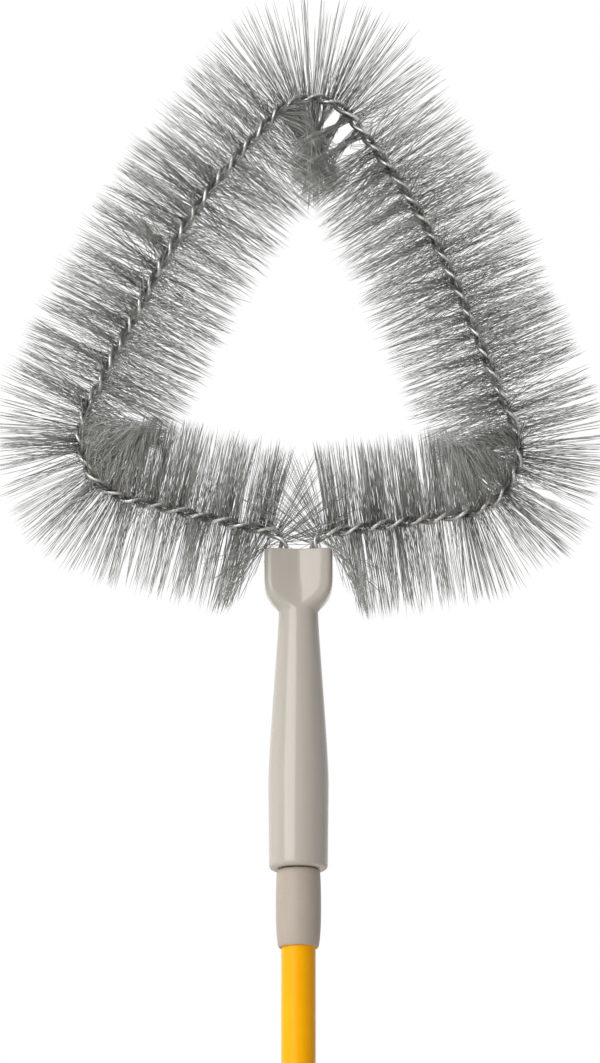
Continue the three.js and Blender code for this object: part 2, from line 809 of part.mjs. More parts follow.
const head = new THREE.Group();
head.name = "head_group";
head.position.z = cupRim;
const socket = piece("head_socket", headSocket(), taupePlastic);
socket.position.z = -socketLength;
head.add(
  socket,
  piece("wire_plug", wirePlug(), whiteNylon),
  piece("core_wire_a", strand(0), steelWire),
  piece("core_wire_b", strand(Math.PI), steelWire),
  piece("bristles_base_left", baseBristles(bendLeft, -1), greyBristle),
  piece("bristles_corner_left", cornerBristles(bendLeft), greyBristle),
  piece("bristles_side_left", sideBristles(bendLeft, bendTop), greyBristle),
  piece("bristles_corner_top", cornerBristles(bendTop), greyBristle),
  piece("bristles_side_right", sideBristles(bendTop, bendRight), greyBristle),
  piece("bristles_corner_right", cornerBristles(bendRight), greyBristle),
  piece("bristles_base_right", baseBristles(bendRight, 1), greyBristle),
);

const duster = new THREE.Group();
duster.name = "telescopic_duster";
duster.add(outerPole, lock, innerPole, head);

export default duster;
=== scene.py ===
import math

import bpy
import numpy as np
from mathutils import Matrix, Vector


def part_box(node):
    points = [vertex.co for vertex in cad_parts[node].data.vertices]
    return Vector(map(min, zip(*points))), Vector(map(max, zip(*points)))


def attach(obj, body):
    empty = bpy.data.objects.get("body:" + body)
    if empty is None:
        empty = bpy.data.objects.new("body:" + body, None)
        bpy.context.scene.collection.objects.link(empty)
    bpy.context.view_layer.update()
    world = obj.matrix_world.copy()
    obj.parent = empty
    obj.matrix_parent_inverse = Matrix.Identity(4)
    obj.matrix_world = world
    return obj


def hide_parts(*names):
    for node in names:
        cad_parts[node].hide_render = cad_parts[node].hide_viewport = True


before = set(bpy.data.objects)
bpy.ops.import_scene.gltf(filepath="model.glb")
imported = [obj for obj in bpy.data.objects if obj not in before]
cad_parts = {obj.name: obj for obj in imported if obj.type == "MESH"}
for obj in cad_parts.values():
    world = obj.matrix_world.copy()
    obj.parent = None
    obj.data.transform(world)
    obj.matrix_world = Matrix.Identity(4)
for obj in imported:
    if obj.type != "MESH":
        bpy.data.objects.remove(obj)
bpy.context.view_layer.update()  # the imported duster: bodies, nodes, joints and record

mm = 0.001
weldGap = 0.002  # corners nearer than this, in mm, become one
scene = bpy.context.scene
scene.view_settings.view_transform = "Standard"

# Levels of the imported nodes, in mm
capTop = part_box("end_cap")[1].z / mm
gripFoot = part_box("grip_sleeve")[0].z / mm
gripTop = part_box("grip_sleeve")[1].z / mm
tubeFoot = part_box("outer_tube")[0].z / mm
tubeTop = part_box("outer_tube")[1].z / mm
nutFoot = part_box("lock_nut")[0].z / mm
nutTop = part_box("lock_nut")[1].z / mm
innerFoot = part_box("inner_tube")[0].z / mm
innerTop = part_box("inner_tube")[1].z / mm
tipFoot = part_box("pole_tip")[0].z / mm
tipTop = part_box("pole_tip")[1].z / mm
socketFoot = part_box("head_socket")[0].z / mm
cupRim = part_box("head_socket")[1].z / mm
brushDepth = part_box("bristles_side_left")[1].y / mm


# Colours and nodes

noiseLow = 0.3  # most of a noise texture lies between these two
noiseHigh = 0.7


def linear(hexColour):
    parts = [int(hexColour[i:i + 2], 16) / 255 for i in (1, 3, 5)]
    return [c / 12.92 if c <= 0.04045 else ((c + 0.055) / 1.055) ** 2.4 for c in parts] + [1.0]


def addNode(tree, kind, settings=None, links=None):
    node = tree.nodes.new("ShaderNode" + kind)
    for key, value in (settings or {}).items():
        if key == "stops":  # colour stops of a ramp: place and hex colour
            ramp = node.color_ramp.elements
            while len(ramp) < len(value):
                ramp.new(0.5)
            for element, (place, colour) in zip(ramp, value):
                element.position = place
                element.color = linear(colour)
        elif key == "size":  # of a pattern, in mm
            node.inputs["Scale"].default_value = 1 / (value * mm)
        elif isinstance(key, int) or key in node.inputs:
            node.inputs[key].default_value = value
        else:
            setattr(node, key, value)
    for key, socket in (links or {}).items():
        tree.links.new(socket, node.inputs[key])
    return node


def startMaterial(name):
    material = bpy.data.materials.new(name)
    material.use_nodes = True
    tree = material.node_tree
    tree.nodes.clear()
    return material, tree


# A surface whose gloss follows one noise and whose bumps follow another
def closeSurface(tree, look, settings, colour, glossNoise, bumpNoise):
    gloss = addNode(tree, "MapRange", {1: noiseLow, 2: noiseHigh, 3: look["roughLow"], 4: look["roughHigh"]},
                    {0: glossNoise})
    bump = addNode(tree, "Bump", {"Strength": look["bumpStrength"], "Distance": look["bumpDepth"] * mm},
                   {"Height": bumpNoise})
    shader = addNode(tree, "BsdfPrincipled", settings,
                     {"Base Color": colour.outputs["Color"], "Roughness": gloss.outputs["Result"],
                      "Normal": bump.outputs["Normal"]})
    addNode(tree, "OutputMaterial", {}, {"Surface": shader.outputs["BSDF"]})


# Moulded plastic: flow marks drawn out along the pole, a fine mottle, and a skin that is never quite flat
def mouldedPlastic(name, dark, light, look):
    material, tree = startMaterial(name)
    place = addNode(tree, "TexCoord").outputs["Object"]
    drawn = addNode(tree, "Mapping", {"Scale": (1, 1, look["flowStretch"])}, {"Vector": place})
    flow = addNode(tree, "TexNoise", {"size": look["flowWidth"], "Detail": 3.0, "Roughness": 0.55},
                   {"Vector": drawn.outputs["Vector"]})
    mottle = addNode(tree, "TexNoise", {"size": look["mottleSize"], "Detail": 2.0}, {"Vector": place})
    skin = addNode(tree, "TexNoise", {"size": look["skinSize"], "Detail": 2.0}, {"Vector": place})
    both = addNode(tree, "Mix", {"data_type": "FLOAT", 0: look["mottleShare"]},
                   {2: flow.outputs["Fac"], 3: mottle.outputs["Fac"]})
    colour = addNode(tree, "ValToRGB", {"stops": [(noiseLow, dark), (noiseHigh, light)]},
                     {"Fac": both.outputs[0]})
    closeSurface(tree, look, {"IOR": look["ior"]}, colour, mottle.outputs["Fac"], skin.outputs["Fac"])
    return material


# ABS from a polished mould: glossy, with soft drawn-out reflections
taupeAbs = mouldedPlastic("mouldedTaupeAbs", "#b2aba1", "#b9b2a8", {
    "flowWidth": 9, "flowStretch": 0.04, "mottleSize": 1.6, "mottleShare": 0.2, "roughLow": 0.12,
    "roughHigh": 0.16, "skinSize": 14, "bumpStrength": 0.08, "bumpDepth": 0.2, "ior": 1.54})

# Polypropylene from an etched mould: satin, a little warmer
satinPolypropylene = mouldedPlastic("satinTaupePolypropylene", "#ada195", "#b6aa9e", {
    "flowWidth": 12, "flowStretch": 0.2, "mottleSize": 1.1, "mottleShare": 0.5, "roughLow": 0.42,
    "roughHigh": 0.52, "skinSize": 0.7, "bumpStrength": 0.3, "bumpDepth": 0.05, "ior": 1.4})

# Soft grip rubber: matt, with a leathery grain about 1 mm wide
gripRubber = mouldedPlastic("grainedGripRubber", "#9a8f84", "#a89d92", {
    "flowWidth": 20, "flowStretch": 0.5, "mottleSize": 1.0, "mottleShare": 0.7, "roughLow": 0.6,
    "roughHigh": 0.75, "skinSize": 1.0, "bumpStrength": 0.6, "bumpDepth": 0.18, "ior": 1.5})

# Uncoloured nylon: milky and waxy
naturalNylon = mouldedPlastic("naturalNylon", "#d6d2c8", "#e2dfd8", {
    "flowWidth": 9, "flowStretch": 0.4, "mottleSize": 1.3, "mottleShare": 0.5, "roughLow": 0.38,
    "roughHigh": 0.5, "skinSize": 2.0, "bumpStrength": 0.3, "bumpDepth": 0.08, "ior": 1.53})


# Baked enamel on drawn steel tube: deep orange-yellow and glossy, with a faint orange-peel skin and fine
# draw marks along the tube

enamel = {
    "dark": "#fcaa00", "light": "#ffb502", "cloudSize": 22, "markWidth": 1.2, "markStretch": 0.02,
    "markShare": 0.4, "roughLow": 0.2, "roughHigh": 0.3, "peelSize": 1.4, "bumpStrength": 0.2,
    "bumpDepth": 0.05, "ior": 1.22,
}


def bakedEnamel(look):
    material, tree = startMaterial("bakedYellowEnamel")
    place = addNode(tree, "TexCoord").outputs["Object"]
    cloud = addNode(tree, "TexNoise", {"size": look["cloudSize"], "Detail": 3.0}, {"Vector": place})
    drawn = addNode(tree, "Mapping", {"Scale": (1, 1, look["markStretch"])}, {"Vector": place})
    marks = addNode(tree, "TexNoise", {"size": look["markWidth"], "Detail": 2.0},
                    {"Vector": drawn.outputs["Vector"]})
    peel = addNode(tree, "TexNoise", {"size": look["peelSize"], "Detail": 1.0}, {"Vector": place})
    both = addNode(tree, "Mix", {"data_type": "FLOAT", 0: look["markShare"]},
                   {2: cloud.outputs["Fac"], 3: marks.outputs["Fac"]})
    colour = addNode(tree, "ValToRGB", {"stops": [(noiseLow, look["dark"]), (noiseHigh, look["light"])]},
                     {"Fac": both.outputs[0]})
    closeSurface(tree, look, {"IOR": look["ior"]}, colour, both.outputs[0], peel.outputs["Fac"])
    return material


# Galvanised drawn wire: bright zinc with duller patches a few millimetres long

zinc = {
    "stops": [(0.3, "#b4b3af"), (0.55, "#cdccc8"), (0.8, "#e2e1dd")], "patchSize": 3.5, "gritSize": 0.6,
    "roughLow": 0.28, "roughHigh": 0.42, "bumpStrength": 0.25, "bumpDepth": 0.04,
}


def galvanisedWire(look):
    material, tree = startMaterial("galvanisedWire")
    place = addNode(tree, "TexCoord").outputs["Object"]
    patches = addNode(tree, "TexNoise", {"size": look["patchSize"], "Detail": 3.0}, {"Vector": place})
    grit = addNode(tree, "TexNoise", {"size": look["gritSize"], "Detail": 2.0}, {"Vector": place})
    colour = addNode(tree, "ValToRGB", {"stops": look["stops"]}, {"Fac": patches.outputs["Fac"]})
    closeSurface(tree, look, {"Metallic": 1.0}, colour, grit.outputs["Fac"], grit.outputs["Fac"])
    return material


# Extruded grey filament: each one its own shade, read from the map's columns. The tone along it is painted
# light: palest at the tip, and paler at the root than halfway, which lifts the shade among the crowded roots

filamentLook = {
    "columns": 64, "shades": [(0.0, "#5a5b57"), (0.3, "#8f908b"), (0.65, "#bfc0bb"), (1.0, "#ffffff")],
    "along": [(0.0, "#f6f6f5"), (0.35, "#eeeeed"), (1.0, "#ffffff")], "roughLow": 0.3, "roughHigh": 0.5,
    "ior": 1.5,
}


def extrudedFilament(look):
    material, tree = startMaterial("extrudedGreyFilament")
    columns = float(look["columns"])
    place = addNode(tree, "UVMap", {"uv_map": "OFBake"})
    parts = addNode(tree, "SeparateXYZ", {}, {"Vector": place.outputs["UV"]})
    column = addNode(tree, "Math", {"operation": "MULTIPLY", 1: columns}, {0: parts.outputs["X"]})
    number = addNode(tree, "Math", {"operation": "FLOOR"}, {0: column.outputs["Value"]})
    lot = addNode(tree, "Math", {"operation": "DIVIDE", 1: columns}, {0: number.outputs["Value"]})
    shade = addNode(tree, "ValToRGB", {"stops": look["shades"]}, {"Fac": lot.outputs["Value"]})
    # Painted light along the filament, from root to tip
    along = addNode(tree, "ValToRGB", {"stops": look["along"]}, {"Fac": parts.outputs["Y"]})
    colour = addNode(tree, "Mix", {"data_type": "RGBA", "blend_type": "MULTIPLY", 0: 1.0},
                     {6: shade.outputs["Color"], 7: along.outputs["Color"]})
    gloss = addNode(tree, "MapRange", {1: 0.0, 2: 1.0, 3: look["roughLow"], 4: look["roughHigh"]},
                    {0: lot.outputs["Value"]})
    shader = addNode(tree, "BsdfPrincipled", {"IOR": look["ior"]},
                     {"Base Color": colour.outputs[2], "Roughness": gloss.outputs["Result"]})
    addNode(tree, "OutputMaterial", {}, {"Surface": shader.outputs["BSDF"]})
    return material


yellowEnamel = bakedEnamel(enamel)
zincWire = galvanisedWire(zinc)
filamentGrey = extrudedFilament(filamentLook)
print("materials made")


# Modelling helpers

def clearSelection():
    if bpy.context.object and bpy.context.object.mode != "OBJECT":
        bpy.ops.object.mode_set(mode="OBJECT")
    bpy.ops.object.select_all(action="DESELECT")


def makeActive(piece):
    clearSelection()
    piece.select_set(True)
    bpy.context.view_layer.objects.active = piece


def editAll():
    bpy.ops.object.mode_set(mode="EDIT")
    bpy.ops.mesh.select_all(action="SELECT")


# Takes every corner of the active mesh out of its selection
def selectNone():
    bpy.ops.object.mode_set(mode="EDIT")
    bpy.ops.mesh.select_all(action="DESELECT")
    bpy.ops.object.mode_set(mode="OBJECT")


# Turns every face of the mesh being edited outwards, and leaves it
def faceOutwards():
    bpy.ops.mesh.select_all(action="SELECT")
    bpy.ops.mesh.normals_make_consistent(inside=False)
    bpy.ops.object.mode_set(mode="OBJECT")


# A circle extruded through rows of (radius, height) in mm. The last row meets the first, or both lie on the
# axis, so that the piece is closed
def turnedPiece(name, rows, sides):
    clearSelection()
    radius, height = rows[0]
    bpy.ops.mesh.primitive_circle_add(vertices=sides, radius=radius * mm, fill_type="NOTHING")
    piece = bpy.context.object
    piece.name = name
    editAll()
    bpy.ops.transform.translate(value=(0, 0, height * mm))
    for (r0, z0), (r1, z1) in zip(rows, rows[1:]):
        bpy.ops.mesh.extrude_region_move(TRANSFORM_OT_translate={"value": (0, 0, (z1 - z0) * mm)})
        if abs(r1 - r0) > 1e-6:
            bpy.ops.transform.resize(value=(r1 / r0, r1 / r0, 1), center_override=(0, 0, z1 * mm))
    bpy.ops.mesh.select_all(action="SELECT")
    bpy.ops.mesh.remove_doubles(threshold=weldGap * mm)
    faceOutwards()
    return piece


def applyModifier(piece, kind, settings):
    modifier = piece.modifiers.new(kind.lower(), kind)
    for key, value in settings.items():
        setattr(modifier, key, value)
    makeActive(piece)
    bpy.ops.object.modifier_apply(modifier=modifier.name)


def bevelEdges(piece, width, segments, angle):
    applyModifier(piece, "BEVEL", {"width": width * mm, "segments": segments, "limit_method": "ANGLE",
                                   "angle_limit": math.radians(angle)})


def cutAway(piece, cutter):
    applyModifier(piece, "BOOLEAN", {"operation": "DIFFERENCE", "solver": "EXACT", "object": cutter})
    bpy.data.objects.remove(cutter)


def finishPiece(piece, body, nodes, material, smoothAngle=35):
    makeActive(piece)
    bpy.ops.object.shade_smooth_by_angle(angle=math.radians(smoothAngle))
    piece.data.materials.clear()
    piece.data.materials.append(material)
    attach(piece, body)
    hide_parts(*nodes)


def arcRows(centreRadius, centreHeight, arcRadius, fromDegrees, toDegrees, steps):
    turns = np.radians(np.linspace(fromDegrees, toDegrees, steps))
    return [(centreRadius + arcRadius * math.cos(t), centreHeight + arcRadius * math.sin(t)) for t in turns]


def bezierRows(p0, p1, p2, p3, steps):
    rows = []
    for t in np.linspace(0, 1, steps + 1)[1:]:
        a, b, c, d = (1 - t) ** 3, 3 * t * (1 - t) ** 2, 3 * t * t * (1 - t), t ** 3
        rows.append(tuple(a * p0[i] + b * p1[i] + c * p2[i] + d * p3[i] for i in (0, 1)))
    return rows


# A soft groove round a level, in a wall of this radius
def grooveRows(radius, level, depth, half, steps=13):
    return [(radius - depth * (0.5 + 0.5 * math.cos(u * math.pi)), level + u * half)
            for u in np.linspace(-1, 1, steps)]


# Head socket: barrel, neck and flattened cup with a shallow valley between the two wires

socket = {
    "sides": 96, "screwBore": 10.6, "boreChamfer": 1.2, "screwDepth": 44, "boreTaper": 2, "neckBore": 7.8,
    "footRadius": 16.3, "footRound": 2.4, "bellyRadius": 16.8, "bellyHeight": 47, "bellyPull": 0.22,
    "neckRadius": 11, "neckHeight": 145.8, "neckPull": 0.82, "neckEase": 0.5, "barrelSteps": 22,
    "bowlHeight": 22, "bowlRound": 3.4, "bowlFillet": 1.7, "bowlSteps": 22,
    "cupHalfWidth": 19.1, "cupSquareness": 6, "cupWall": 2.5, "rimRound": 0.7, "sectionSteps": 4001,
    "valleyDepth": 3.0, "valleyReach": 0.85, "pocketDepth": 21, "pocketLip": 1.5, "pocketSquareness": 4.2,
}


def makeSocket(s):
    length = cupRim - socketFoot
    foot, neck, belly = s["footRadius"], s["neckRadius"], s["bellyRadius"]
    footTop, bellyTop, neckTop = s["footRound"], s["bellyHeight"], s["neckHeight"]
    rise = neckTop - bellyTop
    rimFoot = length - s["rimRound"]
    depth = neck - s["valleyDepth"] - s["cupWall"]
    floor = length - s["pocketDepth"]
    rows = [(s["screwBore"], s["boreChamfer"]), (s["screwBore"] + s["boreChamfer"], 0)]
    rows += arcRows(foot - s["footRound"], footTop, s["footRound"], -90, 0, 7)
    rows += [(foot + (belly - foot) * t, footTop + (bellyTop - footTop) * t) for t in (0.2, 0.5, 0.8, 1)]
    rows += bezierRows((belly, bellyTop), (belly, bellyTop + s["bellyPull"] * rise),
                       (neck + s["neckEase"], bellyTop + s["neckPull"] * rise), (neck, neckTop),
                       s["barrelSteps"])
    rows += [(neck, neckTop + s["bowlHeight"] * t) for t in np.linspace(0, 1, s["bowlSteps"] + 1)[1:]]
    rows += [(neck, z) for z in np.linspace(neckTop + s["bowlHeight"], rimFoot, 5)[1:]]
    rows += arcRows(neck - s["rimRound"], rimFoot, s["rimRound"], 0, 90, 5)[1:]
    rows += [(depth, length), (depth, length - s["pocketLip"]), (depth, floor)]
    rows += [(s["neckBore"], floor), (s["neckBore"], s["screwDepth"] + s["boreTaper"])]
    rows += [(s["screwBore"], s["screwDepth"]), rows[0]]
    rows = [(radius, socketFoot + height) for radius, height in rows]
    piece = turnedPiece("socketBody", rows, s["sides"])

    # Turns that space a column's corners evenly round the squared section, for a quarter of it
    fine = np.linspace(0, math.pi / 2, s["sectionSteps"])
    squaring = 2 / s["cupSquareness"]
    section = np.stack([s["cupHalfWidth"] * np.cos(fine) ** squaring, neck * np.sin(fine) ** squaring], 1)
    walked = np.concatenate([[0], np.cumsum(np.linalg.norm(np.diff(section, axis=0), axis=1))])

    def evenTurn(turn):
        quarter = abs(math.remainder(turn, math.pi))
        spaced = float(np.interp(quarter / (math.pi / 2) * walked[-1], walked, fine))
        return turn + math.copysign(spaced - quarter, math.remainder(turn, math.pi))

    # The cup's rows leave the circle: wider across, squarer, with the valley front and back
    near = 0.05
    for vertex in piece.data.vertices:
        x, y, z = (c / mm for c in vertex.co)
        height = z - socketFoot
        radius = math.hypot(x, y)
        turn = math.atan2(y, x)
        cosine, sine = math.cos(turn), math.sin(turn)
        inPocket = abs(radius - depth) < near and height > floor - 2 * near
        if inPocket:
            power = 2 / s["pocketSquareness"]
            x = (s["cupHalfWidth"] - s["cupWall"]) * math.copysign(abs(cosine) ** power, cosine)
            y = depth * math.copysign(abs(sine) ** power, sine)
        elif height > neckTop + 1e-4 and radius > neck - s["rimRound"] - near:
            share = min(1, (height - neckTop) / s["bowlHeight"])
            swell = (1 - (1 - share) ** s["bowlRound"]) ** s["bowlFillet"]
            power = 2 / (2 + (s["cupSquareness"] - 2) * swell)
            across = radius + (s["cupHalfWidth"] - neck) * swell
            turn += (evenTurn(turn) - turn) * swell
            cosine, sine = math.cos(turn), math.sin(turn)
            x = across * math.copysign(abs(cosine) ** power, cosine)
            y = radius * math.copysign(abs(sine) ** power, sine)
            beside = max(0, 1 - abs(x) / (s["valleyReach"] * across))
            y -= math.copysign(s["valleyDepth"] * swell * beside, y)
        else:
            continue
        vertex.co = (x * mm, y * mm, z * mm)
    return piece


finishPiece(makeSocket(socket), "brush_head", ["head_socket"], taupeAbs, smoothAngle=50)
print("socket made")


# Pole tip: satin barrel over the tube and the threaded stub that goes up into the socket

tip = {
    "sides": 96, "bore": 9.8, "barrelLength": 43.5, "tubeDepth": 36.3, "barrelSteps": 22, "edge": 0.25,
    "footRise": 1, "footInset": 0.5, "shoulderDrop": 0.8, "shoulderEdge": 0.25,
    "footWall": 1.5, "shoulderWall": 2.2,
    "bellyWalls": [(0.3, 2.55), (0.52, 2.7), (0.76, 2.6)],  # share of the barrel's length, and wall there
    "stubRadius": 9.0, "stubBore": 5, "stubChamfer": 1.5, "threadPitch": 5, "threadDepth": 1.2,
    "threadTurns": 3.5, "threadStart": 2.7, "threadSteps": 48, "threadSides": 10,
}


def makeTip(t):
    bore, length, stub = t["bore"], t["barrelLength"], t["stubRadius"]
    top = tipTop - tipFoot
    low, high = t["footRise"], length - t["shoulderDrop"]
    knots = [low] + [length * share for share, wall in t["bellyWalls"]] + [high]
    walls = [t["footWall"]] + [wall for share, wall in t["bellyWalls"]] + [t["shoulderWall"]]
    smooth = np.poly1d(np.polyfit(knots, walls, 4))
    shoulder = bore + t["shoulderWall"]
    rows = [(bore, 0), (bore + t["footWall"] - t["footInset"], 0)]
    rows += [(bore + float(smooth(h)), float(h)) for h in np.linspace(low, high, t["barrelSteps"])]
    rows += [(shoulder - t["shoulderEdge"], length - t["shoulderEdge"]),
             (shoulder - t["shoulderDrop"], length)]
    rows += [(stub, length), (stub, top - t["stubChamfer"]), (stub - t["stubChamfer"], top)]
    rows += [(t["stubBore"], top), (t["stubBore"], t["tubeDepth"]), (bore, t["tubeDepth"]), (bore, 0)]
    barrel = turnedPiece("tipBarrel", [(r, tipFoot + h) for r, h in rows], t["sides"])
    bevelEdges(barrel, t["edge"], segments=2, angle=40)
    # The thread: a small round section wound up the stub with the Screw modifier
    clearSelection()
    start = tipFoot + length + t["threadStart"]
    bpy.ops.mesh.primitive_circle_add(
        vertices=t["threadSides"], radius=t["threadDepth"] * mm, fill_type="NOTHING",
        location=(stub * mm, 0, start * mm), rotation=(math.pi / 2, 0, 0))
    thread = bpy.context.object
    bpy.ops.object.transform_apply(location=True, rotation=True)
    steps = int(t["threadSteps"] * t["threadTurns"])
    applyModifier(thread, "SCREW", {"angle": 2 * math.pi * t["threadTurns"],
                                    "screw_offset": t["threadPitch"] * t["threadTurns"] * mm,
                                    "steps": steps, "render_steps": steps})
    bpy.ops.object.mode_set(mode="EDIT")
    bpy.ops.mesh.select_all(action="DESELECT")
    bpy.ops.mesh.select_non_manifold()
    bpy.ops.mesh.edge_face_add()
    faceOutwards()
    barrel.select_set(True)
    bpy.context.view_layer.objects.active = barrel
    bpy.ops.object.join()
    return barrel


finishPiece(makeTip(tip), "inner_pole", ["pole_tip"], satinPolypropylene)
print("pole tip made")


# Tubes: drawn steel with rolled ends; the outer one has the groove that stops the inner one

tubes = {"sides": 96, "innerRadius": 9.5, "innerWall": 0.4, "outerRadius": 11.5, "outerWall": 0.5,
         "crimpBelowTop": 100, "crimpDepth": 0.9, "crimpHalf": 3.2, "endRound": 0.2}


def makeTubes(t):
    def shell(name, radius, thickness, foot, top, crimps):
        edge = t["endRound"]
        bore = radius - thickness
        rows = [(radius - edge, foot), (radius, foot + edge)]
        for level in crimps:
            rows += grooveRows(radius, level, t["crimpDepth"], t["crimpHalf"])
        rows += [(radius, top - edge), (radius - edge, top), (bore, top)]
        for level in crimps:
            rows += grooveRows(bore, level, t["crimpDepth"], t["crimpHalf"])[::-1]
        rows += [(bore, foot), rows[0]]
        return turnedPiece(name, rows, t["sides"])

    crimp = tubeTop - t["crimpBelowTop"]
    inner = shell("innerTubeShell", t["innerRadius"], t["innerWall"], innerFoot, innerTop, [])
    outer = shell("outerTubeShell", t["outerRadius"], t["outerWall"], tubeFoot, tubeTop, [crimp])
    return inner, outer


innerTube, outerTube = makeTubes(tubes)
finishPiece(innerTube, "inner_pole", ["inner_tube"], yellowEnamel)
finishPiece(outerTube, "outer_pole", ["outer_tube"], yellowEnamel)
print("tubes made")


# Lock nut: a ribbed sleeve that narrows to the inner tube

nut = {
    "sides": 128, "bore": 14.9, "wall": 2.6, "chamber": 13.4, "opening": 10.3, "openingChamfer": 0.5,
    "lid": 3, "footRound": 0.8, "shoulderHeight": 34.7, "shoulderPull": 4, "crownLean": 0.3,
    "crownPull": 6, "crownDrop": 2.4, "crownRound": 2, "crownSteps": 8,
    "ribs": 8, "ribDepth": 0.9, "gapFrom": 0.28, "gapTo": 0.97, "gapFoot": 2, "gapTop": 1.5,
    "footRings": (1.6, 2.6), "shoulderRings": (3.4, 2.2, 1, 0), "edge": 0.5, "sliver": 0.005,
}


def makeNut(n):
    outside = n["bore"] + n["wall"]
    crown = n["chamber"] + n["wall"]
    height = nutTop - nutFoot
    shoulder = n["shoulderHeight"]
    foot = n["footRound"]
    ceiling = height - n["lid"]
    rows = [(n["bore"], 0), (outside - foot, 0)] + arcRows(outside - foot, foot, foot, -90, 0, 5)[1:]
    rows += [(outside, z) for z in n["footRings"]]
    rows += [(outside, shoulder - drop) for drop in n["shoulderRings"]]
    rows += bezierRows((outside, shoulder), (outside, shoulder + n["shoulderPull"]),
                       (crown + n["crownLean"], height - n["crownPull"]), (crown, height - n["crownDrop"]),
                       n["crownSteps"])
    rows += arcRows(crown - n["crownRound"], height - n["crownRound"], n["crownRound"], 0, 90, 6)[1:]
    rows += [(n["opening"] + n["openingChamfer"], height), (n["opening"], height - n["openingChamfer"])]
    rows += [(n["opening"], ceiling), (n["chamber"], ceiling), (n["chamber"], shoulder)]
    rows += [(n["bore"], shoulder), (n["bore"], 0)]
    piece = turnedPiece("lockNutBody", [(r, nutFoot + z) for r, z in rows], n["sides"])
    # Ribs: the columns between them are drawn in towards the axis
    selectNone()
    near = 0.05
    for vertex in piece.data.vertices:
        x, y, z = (c / mm for c in vertex.co)
        share = (math.atan2(y, x) / (2 * math.pi) * n["ribs"]) % 1
        inGap = n["gapFrom"] < share < n["gapTo"] and n["gapFoot"] < z - nutFoot < shoulder - n["gapTop"]
        vertex.select = math.hypot(x, y) > outside - near and inGap
    bpy.ops.object.mode_set(mode="EDIT")
    draw = (outside - n["ribDepth"]) / outside
    bpy.ops.transform.resize(value=(draw, draw, 1), center_override=(0, 0, 0))
    bpy.ops.object.mode_set(mode="OBJECT")
    bevelEdges(piece, n["edge"], segments=2, angle=35)
    editAll()
    bpy.ops.mesh.dissolve_degenerate(threshold=n["sliver"] * mm)
    bpy.ops.object.mode_set(mode="OBJECT")
    return piece


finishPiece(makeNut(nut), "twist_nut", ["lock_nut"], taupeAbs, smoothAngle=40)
print("lock nut made")


# Grip sleeve: soft rubber with broad finger rings

grip = {"sides": 96, "inside": 11.8, "wall": 2.6, "rings": 4, "ringDepth": 0.9, "ringShare": 0.5,
        "endMargin": 6, "endRound": 1.2}


def makeGrip(g):
    outside = g["inside"] + g["wall"]
    length = gripTop - gripFoot
    end = g["endRound"]
    step = (length - 2 * g["endMargin"]) / g["rings"]
    rows = [(g["inside"], 0)] + arcRows(outside - end, end, end, -90, 0, 6)
    for i in range(g["rings"]):
        middle = g["endMargin"] + step * (i + 0.5)
        rows += grooveRows(outside, middle, g["ringDepth"], step * g["ringShare"] / 2)
    rows += arcRows(outside - end, length - end, end, 0, 90, 6)
    rows += [(g["inside"], length), (g["inside"], 0)]
    return turnedPiece("gripBody", [(r, gripFoot + z) for r, z in rows], g["sides"])


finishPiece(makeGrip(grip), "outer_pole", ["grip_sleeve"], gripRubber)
print("grip made")


# End cap: a moulded cap with a flat tab and a hang hole

cap = {
    "sides": 96, "bore": 11.8, "wall": 2.4, "topRound": 1.2, "eyeTop": 24, "axisRadius": 0.001,
    "footInset": 3, "footLean": (0.9, 0.3), "footPull": 3.2, "footRise": 6,
    "tabThickness": 14, "tabHeight": 21, "eyeWidth": 9, "eyeHeight": 12, "eyeFloor": 5, "eyeSides": 48,
    "cutterReach": 20, "edge": 0.6,
}


def makeCap(c):
    outside = c["bore"] + c["wall"]
    foot = outside - c["footInset"]
    shoulder = capTop - c["topRound"]
    lean, lift = c["footLean"]
    rows = [(c["axisRadius"], 0), (foot, 0)]
    rows += bezierRows((foot, 0), (outside - lean, lift), (outside, c["footPull"]),
                       (outside, c["footRise"]), 8)
    rows += [(outside, shoulder)] + arcRows(outside - c["topRound"], shoulder, c["topRound"], 0, 90, 5)[1:]
    rows += [(c["bore"], capTop), (c["bore"], c["eyeTop"]), (c["axisRadius"], c["eyeTop"])]
    piece = turnedPiece("endCapBody", rows, c["sides"])
    # Flats either side of the tab, and the hang hole, taken out with boolean modifiers
    reach = c["cutterReach"]
    for side in (-1, 1):
        clearSelection()
        bpy.ops.mesh.primitive_cube_add(size=2 * reach * mm, location=(
            0, side * (c["tabThickness"] / 2 + reach) * mm, (c["tabHeight"] - reach) * mm))
        cutAway(piece, bpy.context.object)
    clearSelection()
    eyeRound = c["eyeWidth"] / 2
    eyeMiddle = c["eyeFloor"] + eyeRound
    bpy.ops.mesh.primitive_cylinder_add(
        vertices=c["eyeSides"], radius=eyeRound * mm, depth=3 * reach * mm, rotation=(math.pi / 2, 0, 0),
        location=(0, 0, eyeMiddle * mm))
    hole = bpy.context.object
    bpy.ops.object.transform_apply(location=True, rotation=True)
    selectNone()
    for vertex in hole.data.vertices:
        vertex.select = vertex.co.z > (eyeMiddle + 0.01) * mm
    bpy.ops.object.mode_set(mode="EDIT")
    bpy.ops.transform.translate(value=(0, 0, (c["eyeHeight"] - c["eyeWidth"]) * mm))
    bpy.ops.object.mode_set(mode="OBJECT")
    cutAway(piece, hole)
    bevelEdges(piece, c["edge"], segments=3, angle=38)
    return piece


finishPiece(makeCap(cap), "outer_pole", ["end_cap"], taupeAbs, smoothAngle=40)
print("end cap made")

# The nylon pieces inside stay as they were packed
for name in ("lock_collet", "slip_ring", "stop_bush", "wire_plug"):
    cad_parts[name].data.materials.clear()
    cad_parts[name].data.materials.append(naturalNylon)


# The loop that the twisted wire follows: corners from one tail round to the other, in mm from the cup's rim

